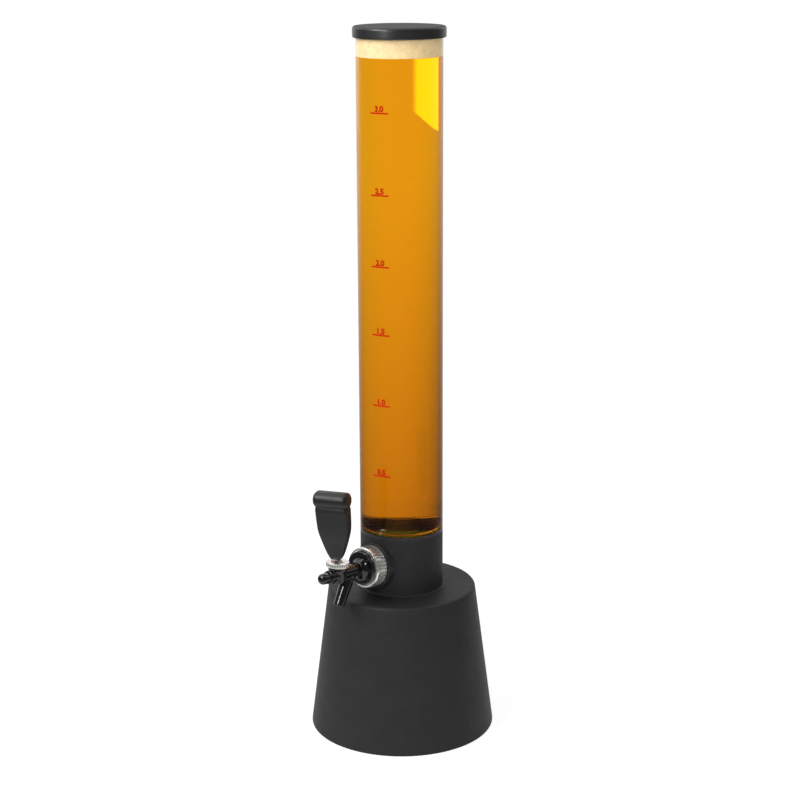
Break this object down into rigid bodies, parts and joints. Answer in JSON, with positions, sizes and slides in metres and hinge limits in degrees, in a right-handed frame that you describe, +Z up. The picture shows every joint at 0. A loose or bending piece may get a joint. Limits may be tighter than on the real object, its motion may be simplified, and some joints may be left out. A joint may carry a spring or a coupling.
{
  "type": "beer tower dispenser",
  "caption": "Tall clear tube on a weighted round base, with a lift-off lid and a lever tap that pours from a spout at the neck.",
  "frame": {"origin": "middle of the foot pad's underside, on the surface that the tower stands on", "axes": "+Z up along the tube's axis, -Y forward along the tap, +X to the right of a person who faces +Y"},
  "size_m": [0.2132, 0.242, 0.8061],
  "materials": {
    "base_plastic": "fine textured moulded black plastic",
    "hidden_plastic": "plain moulded black plastic",
    "cup_plastic": "smooth moulded black plastic",
    "clear_tube": "clear acrylic",
    "lid_plastic": "satin moulded black plastic",
    "tap_black": "glossy black",
    "handle_black": "satin black with soft highlights",
    "chrome": "polished chrome",
    "steel": "turned stainless steel",
    "screw_steel": "zinc plated",
    "brass": "turned brass",
    "iron": "cast",
    "rubber": "soft black rubber",
    "seat_plastic": "natural low friction plastic"
  },
  "bodies": {
    "tower": {"base_shell": "base_plastic", "base_plate": "hidden_plastic", "base_screws": "screw_steel", "foot_pad": "rubber", "ballast_disc": "iron", "ballast_screws": "screw_steel", "reservoir_cup": "cup_plastic", "clear_tube": "clear_tube", "tube_o_rings": "rubber", "tap_shank": "steel", "shank_o_ring": "rubber", "saddle_washer": "hidden_plastic", "inner_washer": "rubber", "lock_nut": "steel", "coupling_nut": "chrome", "coupling_washer": "rubber", "faucet_body": "tap_black", "gland_seal": "rubber", "nose_cap": "tap_black", "nose_o_ring": "rubber", "ball_seat": "seat_plastic", "friction_washer": "seat_plastic", "bonnet": "chrome"},
    "valve": {"valve_shaft": "steel", "valve_washer": "rubber", "valve_nut": "steel"},
    "lever": {"lever_stem": "steel", "handle_insert": "brass", "tap_handle": "handle_black"},
    "lid": {"lid_cap": "lid_plastic", "lid_gasket": "rubber"}
  },
  "joints": [
    {"name": "lever_pull", "type": "hinge", "parent": "tower", "child": "lever", "pos_m": [0, -0.10673, 0.21816], "axis": [1, 0, 0], "range_deg": [0, 18]},
    {"name": "valve_slide", "type": "slide", "parent": "tower", "child": "valve", "axis": [0, 0.9976, -0.0698], "range_m": [0, 0.0027]},
    {"name": "lid_lift", "type": "slide", "parent": "tower", "child": "lid", "axis": [0, 0, 1], "range_m": [0, 0.12]}
  ],
  "couplings": [
    {"joint": "valve_slide", "follows": "lever_pull", "m_per_rad": 0.0085196}
  ]
}
